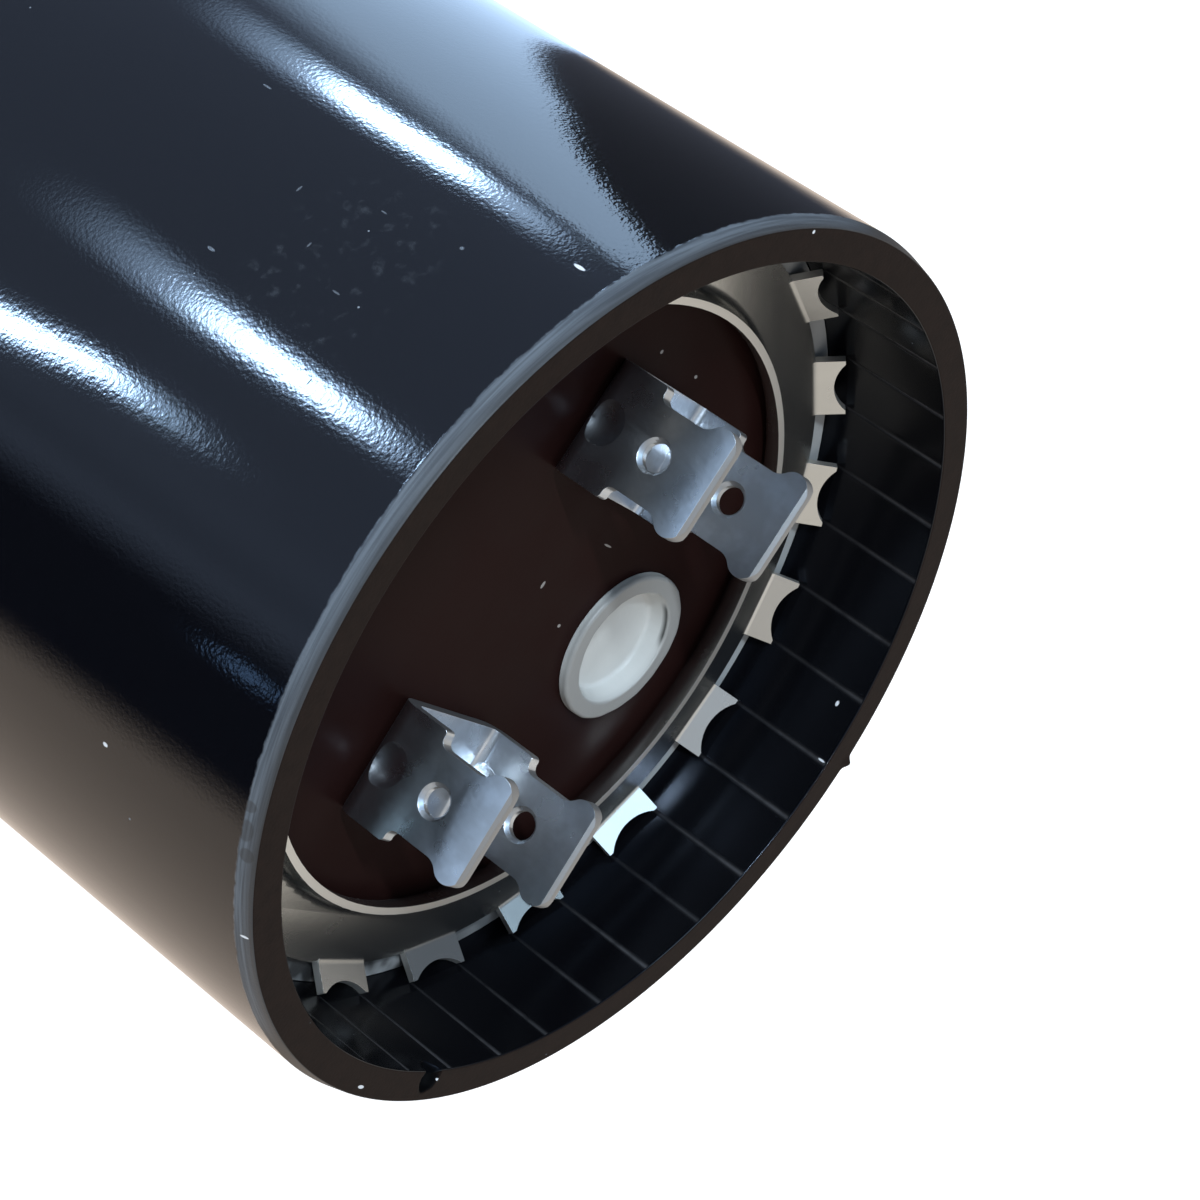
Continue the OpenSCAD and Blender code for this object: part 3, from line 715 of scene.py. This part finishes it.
def stamped_edge(centres, normals):
    """Sheared edges of the ring: the top of the lip, the sides of the teeth and their scalloped ends."""
    radius = np.hypot(centres[:, 0], centres[:, 1])
    outwards = np.sum(normals[:, :2] * centres[:, :2], axis=1) / radius
    sideways = (centres[:, 0] * normals[:, 1] - centres[:, 1] * normals[:, 0]) / radius
    lip_edge = (radius < lip_outer_r) & (normals[:, 2] > 0.9) & (centres[:, 2] > lip_edge_low)
    tooth_end = (radius > tooth_inner_r) & (outwards + normals[:, 2] > 1.0)
    return lip_edge | tooth_end | (np.abs(sideways) > 0.7)


ring_steel = plated_metal("ring_steel", ring_grey, 0.27, 1400, (1, 1, 1), 0.004 * mm,
                          dulling=0.97, cut_colour=ring_cut)
eased_copy("retaining_ring_stamping", "retaining_ring", ring_edge_r, ring_steel, stamped_edge)


# Floor: a plain pale sheet that the object stands on. It glows a little where it is seen or mirrored, so
# that it shows as white and still keeps the object's shadow.
floor_size = 6.0
floor_mesh = bpy.data.meshes.new("floor")
floor_corners = np.array([(-1, -1, 0), (1, -1, 0), (1, 1, 0), (-1, 1, 0)]) * floor_size
floor_mesh.from_pydata(floor_corners, [], [(0, 1, 2, 3)])
floor = bpy.data.objects.new("floor", floor_mesh)
bpy.context.scene.collection.objects.link(floor)
pale_sheet, tree, shader, place = new_material("pale_sheet")
shader.inputs["Base Color"].default_value = (0.85, 0.85, 0.85, 1)
shader.inputs["Roughness"].default_value = 0.9
shader.inputs["Specular IOR Level"].default_value = 0
rays = node(tree, "LightPath", {})
seen = combine(tree, "MAXIMUM", rays.outputs["Is Camera Ray"], rays.outputs["Is Glossy Ray"])
seen = combine(tree, "MAXIMUM", seen, rays.outputs["Is Transmission Ray"])
shader.inputs["Emission Color"].default_value = (1, 1, 1, 1)
tree.links.new(combine(tree, "MULTIPLY", seen, 0.6), shader.inputs["Emission Strength"])
floor_mesh.materials.append(pale_sheet)


# Studio light: a cool softbox high in front, a narrow cool one low in front, a weak warm one at the
# side, a wide one above, and a dim surrounding that is paler on one side, at the back and towards the
# horizon, and cool in front.
aim = Vector((0, 0, 0.08))


def softbox(name, turn, lift, distance, width, height, colour, radiance):
    """Area lamp in a direction given by turn and lift in degrees, aimed at the mouth of the cup. Its power
    is its radiance times pi times its area."""
    lamp = bpy.data.lights.new(name, "AREA")
    lamp.shape = "RECTANGLE"
    lamp.size = width
    lamp.size_y = height
    lamp.color = colour
    lamp.energy = radiance * math.pi * width * height
    turn = math.radians(turn)
    lift = math.radians(lift)
    away = Vector((math.cos(lift) * math.cos(turn), math.cos(lift) * math.sin(turn), math.sin(lift)))
    box = bpy.data.objects.new(name, lamp)
    facing = away.to_track_quat("Z", "Y").to_matrix().to_4x4()
    box.matrix_world = Matrix.Translation(aim + distance * away) @ facing
    bpy.context.scene.collection.objects.link(box)


softbox("key_softbox", -152, 55, 0.7, 0.28, 0.28, (0.50, 0.77, 1.0), 2.8)
softbox("low_softbox", -115, 28, 0.8, 0.024, 0.12, (0.76, 0.89, 1.0), 500)
softbox("warm_softbox", 5, 40, 0.8, 0.5, 0.5, (1.0, 0.95, 0.86), 0.3)
softbox("top_softbox", 90, 86, 1.0, 0.9, 0.9, (1.0, 0.98, 0.95), 0.5)

world = bpy.data.worlds.new("surrounding")
bpy.context.scene.world = world
world.use_nodes = True
tree = world.node_tree
direction = node(tree, "TexCoord", {}).outputs["Generated"]
up = node(tree, "SeparateXYZ", {"Vector": direction}).outputs["Z"]
room_dark = (0.11, 0.13, 0.16, 1)
room_pale = (0.54, 0.52, 0.49, 1)
room_back = (0.92, 0.87, 0.79, 1)
horizon_pale = (0.85, 0.83, 0.80, 1)
front_cool = (0.46, 0.62, 0.84, 1)


def level_side(turn):
    """Level direction at a turn in degrees."""
    angle = math.radians(turn)
    return (math.cos(angle), math.sin(angle), 0)


facing_pale = along_side(tree, direction, level_side(-10))
facing_cool = along_side(tree, direction, level_side(-120))
facing_back = along_side(tree, direction, level_side(86))
room = blend_colour(tree, between(tree, facing_pale, -0.5, 0.6), room_dark, room_pale)
room = blend_colour(tree, between(tree, facing_back, 0.45, 0.9), room, room_back)
sky = blend_colour(tree, between(tree, up, 0.02, 0.42), horizon_pale, room)
sky = blend_colour(tree, between(tree, facing_cool, 0.2, 0.8), sky, front_cool)
tree.links.new(sky, tree.nodes["Background"].inputs["Color"])


# Reflection cards: sheets just above the floor that only show in reflections. A dark round one lies under
# three narrow bright strips, one cool wedge like daylight from a window and one small cool glint.
def card(name, grid, colours):
    """Sheet through a grid of points with a glowing colour at each, which only reflections show."""
    rows, columns, _ = grid.shape
    index = np.arange(rows * columns).reshape(rows, columns)
    faces = np.stack([index[:-1, :-1], index[:-1, 1:], index[1:, 1:], index[1:, :-1]], axis=-1)
    mesh = bpy.data.meshes.new(name)
    mesh.from_pydata(grid.reshape(-1, 3), [], faces.reshape(-1, 4).tolist())
    glow = mesh.attributes.new("glow", "FLOAT_COLOR", "POINT")
    alpha = np.ones((rows * columns, 1))
    shades = np.hstack([colours.reshape(-1, 3), alpha]).astype(np.float32)
    glow.data.foreach_set("color", shades.reshape(-1))
    sheet_card = bpy.data.objects.new(name, mesh)
    bpy.context.scene.collection.objects.link(sheet_card)
    material = bpy.data.materials.new(name)
    material.use_nodes = True
    tree = material.node_tree
    tree.nodes.remove(tree.nodes["Principled BSDF"])
    shine = node(tree, "Attribute", {}, attribute_name="glow").outputs["Color"]
    light = node(tree, "Emission", {"Color": shine, "Strength": 1.0}).outputs[0]
    tree.links.new(light, tree.nodes["Material Output"].inputs["Surface"])
    mesh.materials.append(material)
    sheet_card.visible_camera = False
    sheet_card.visible_diffuse = False
    sheet_card.visible_transmission = False
    sheet_card.visible_shadow = False


card_share = np.linspace(0, 1, 160)
card_across = np.linspace(0, 1, 24)


def along_line(points):
    """Points of a line on the floor, in millimetres, at equal shares of its length."""
    points = np.array(points, float)
    run = np.concatenate([[0], np.cumsum(np.linalg.norm(np.diff(points, axis=0), axis=1))])
    run = run / run[-1]
    x = np.interp(card_share, run, points[:, 0])
    y = np.interp(card_share, run, points[:, 1])
    return np.stack([x, y], axis=-1)


def ruled_card(name, first, second, lift, colour, glow, sheen_below):
    """Sheet ruled between two lines over the floor, lifted by some millimetres: a point at share v across
    is first (1 - v) + second v. Its glow is added to the sheen of the card below it."""
    v = card_across[None, :, None]
    flat = first[:, None] * (1 - v) + second[:, None] * v
    grid = np.concatenate([flat, np.full(flat.shape[:2] + (1,), lift)], axis=-1) * mm
    card(name, grid, glow[..., None] * np.array(colour) + sheen_below)


def fade(value, low, high):
    """Glow of 1 that fades to 0 over the first and the last part of a share."""
    return rise(value, 0, low) * rise(1 - value, 0, high)


cool_sheen = np.array([0.35, 0.45, 0.67])
low_sheen = np.array([0.40, 0.52, 0.77])
dark_gap = np.array([0.010, 0.012, 0.030])
back_gap = np.array([0.085, 0.095, 0.125])
warm_sheen = np.array([0.85, 0.72, 0.62])
# Round the case the dark card is warm on one side, cool in front and nearly black between, a little
# less so at the back
card_turns = np.linspace(-180, 180, 181)
is_warm = rise(card_turns, -30, -18) * rise(-card_turns, -126, -110)
is_cool = rise(-card_turns, 54, 65) * rise(card_turns, -180, -168)
# A slightly darker band lies within the cool part
band_turn = -69
band_half = 4.5
is_cool = is_cool * (1 - 0.2 * np.exp(-((card_turns - band_turn) / band_half) ** 2))
is_low = rise(card_turns, -84, -72)
cool = cool_sheen + is_low[:, None] * (low_sheen - cool_sheen)
is_back = np.maximum(rise(card_turns, 60, 90), rise(-card_turns, 150, 165))
gap = dark_gap + is_back[:, None] * (back_gap - dark_gap)
sheen = gap + is_warm[:, None] * (warm_sheen - gap) + is_cool[:, None] * (cool - gap)
card_angles = np.radians(card_turns)
card_rings = np.array([case_r + 2 * mm, 0.6])
ring_grid = np.stack([card_rings[:, None] * np.cos(card_angles), card_rings[:, None] * np.sin(card_angles),
                      np.full((2, len(card_turns)), 1.0 * mm)], axis=-1)
card("dark_card", ring_grid, np.stack([sheen, sheen]))

strip_blue = (0.56, 0.82, 1.18)
halo_glow = 6.0
halo_core_glow = 4.0
core_glow = 45.0
core_border = 0.08
strip_lift = 2


def strip(name, points, half_width, core):
    """Cool glow along a line on the floor, with a narrow bright core over a part of its length."""
    centre = along_line(points)
    along = np.gradient(centre, axis=0)
    along = along / np.linalg.norm(along, axis=1)[:, None]
    side = np.stack([-along[:, 1], along[:, 0]], axis=-1) * half_width
    lit = rise(card_share, core[0] - core_border, core[0] + core_border)
    lit = lit * rise(-card_share, -core[1] - core_border, core_border - core[1])
    off_centre = np.abs(2 * card_across - 1)
    halo = halo_glow * fade(card_share, 0.4, 0.12) + halo_core_glow * lit
    halo = halo[:, None] * rise(-off_centre, -1, -0.1)[None, :]
    bright = core_glow * lit[:, None] * rise(-off_centre, -0.6, -0.2)[None, :]
    ruled_card(name, centre - side, centre + side, strip_lift, strip_blue, halo + bright, cool_sheen)


strip("strip_left", [(-74, -24), (-92, -28.5), (-105, -31), (-118, -32.3), (-134, -38)], 11, (0.36, 0.70))
strip("strip_middle", [(-29, -83), (-30.8, -105.7), (-33.8, -117.4), (-38.3, -131), (-39.8, -145)], 12,
      (0.40, 0.78))
strip("strip_right", [(17, -80), (14.6, -91.7), (9.5, -106), (10.5, -112), (7.5, -121)], 8, (0.05, 0.70))

# The wedge glows more towards its far end and less on the right of its near end, with a wide soft border
# on its left and a sharp ragged one on its right
window_blue = (2.0, 2.9, 4.05)
glint_blue = (0.8, 1.5, 2.8)
window_lift = 1.5
wedge_left = along_line([(-76, -16), (-92, -21), (-105, -25), (-118, -28.5), (-130, -33), (-145, -36)])
wedge_right = along_line([(-25, 92), (-50, 82), (-84, 58.8), (-107, 41.6), (-122, 21.7), (-142, -2.4),
                          (-151, -15)])
frayed = 1.2 * np.abs(np.sin(61 * card_share)) + 0.9 * np.abs(np.sin(143 * card_share + 1)) - 1.0
wedge_inwards = wedge_left - wedge_right
wedge_inwards = wedge_inwards / np.linalg.norm(wedge_inwards, axis=1)[:, None]
wedge_right = wedge_right + frayed[:, None] * wedge_inwards
wedge_glow = 1.15 - 0.75 * card_across[None, :] * (1 - card_share[:, None])
wedge_glow = wedge_glow * (0.70 + 0.45 * card_share[:, None])
wedge_glow = wedge_glow * rise(card_across, 0, 0.30) * rise(1 - card_across, 0, 0.03)
ruled_card("window_card", wedge_left, wedge_right, window_lift, window_blue, wedge_glow, cool_sheen)
glint_glow = fade(card_share, 0.4, 0.4)[:, None] * fade(card_across, 0.4, 0.4)[None, :]
glint_near = along_line([(83, -114), (94, -119)])
glint_far = along_line([(86, -103), (97, -107)])
ruled_card("daylight_card", glint_near, glint_far, window_lift, glint_blue, glint_glow, dark_gap)


# Camera: looks down into the mouth of the cup from the front, rolled so that the cup leans into the
# picture from its upper left.
camera_place = Vector((-16.975, -163.288, 178.048)) * mm
view_turn = math.radians(84.90)
view_drop = math.radians(30.54)
camera_roll = math.radians(125.12)
forward = Vector((math.cos(view_drop) * math.cos(view_turn), math.cos(view_drop) * math.sin(view_turn),
                  -math.sin(view_drop)))
level = forward.cross(Vector((0, 0, 1))).normalized()
above = level.cross(forward)
rolled_right = math.cos(camera_roll) * level + math.sin(camera_roll) * above
rolled_up = (-forward).cross(rolled_right)
lens = bpy.data.cameras.new("camera")
lens.sensor_width = 36
lens.lens = 109.65
camera = bpy.data.objects.new("camera", lens)
turned = Matrix((rolled_right, rolled_up, -forward)).transposed().to_4x4()
camera.matrix_world = Matrix.Translation(camera_place) @ turned
bpy.context.scene.collection.objects.link(camera)
bpy.context.scene.camera = camera
bpy.context.scene.view_settings.view_transform = "Standard"
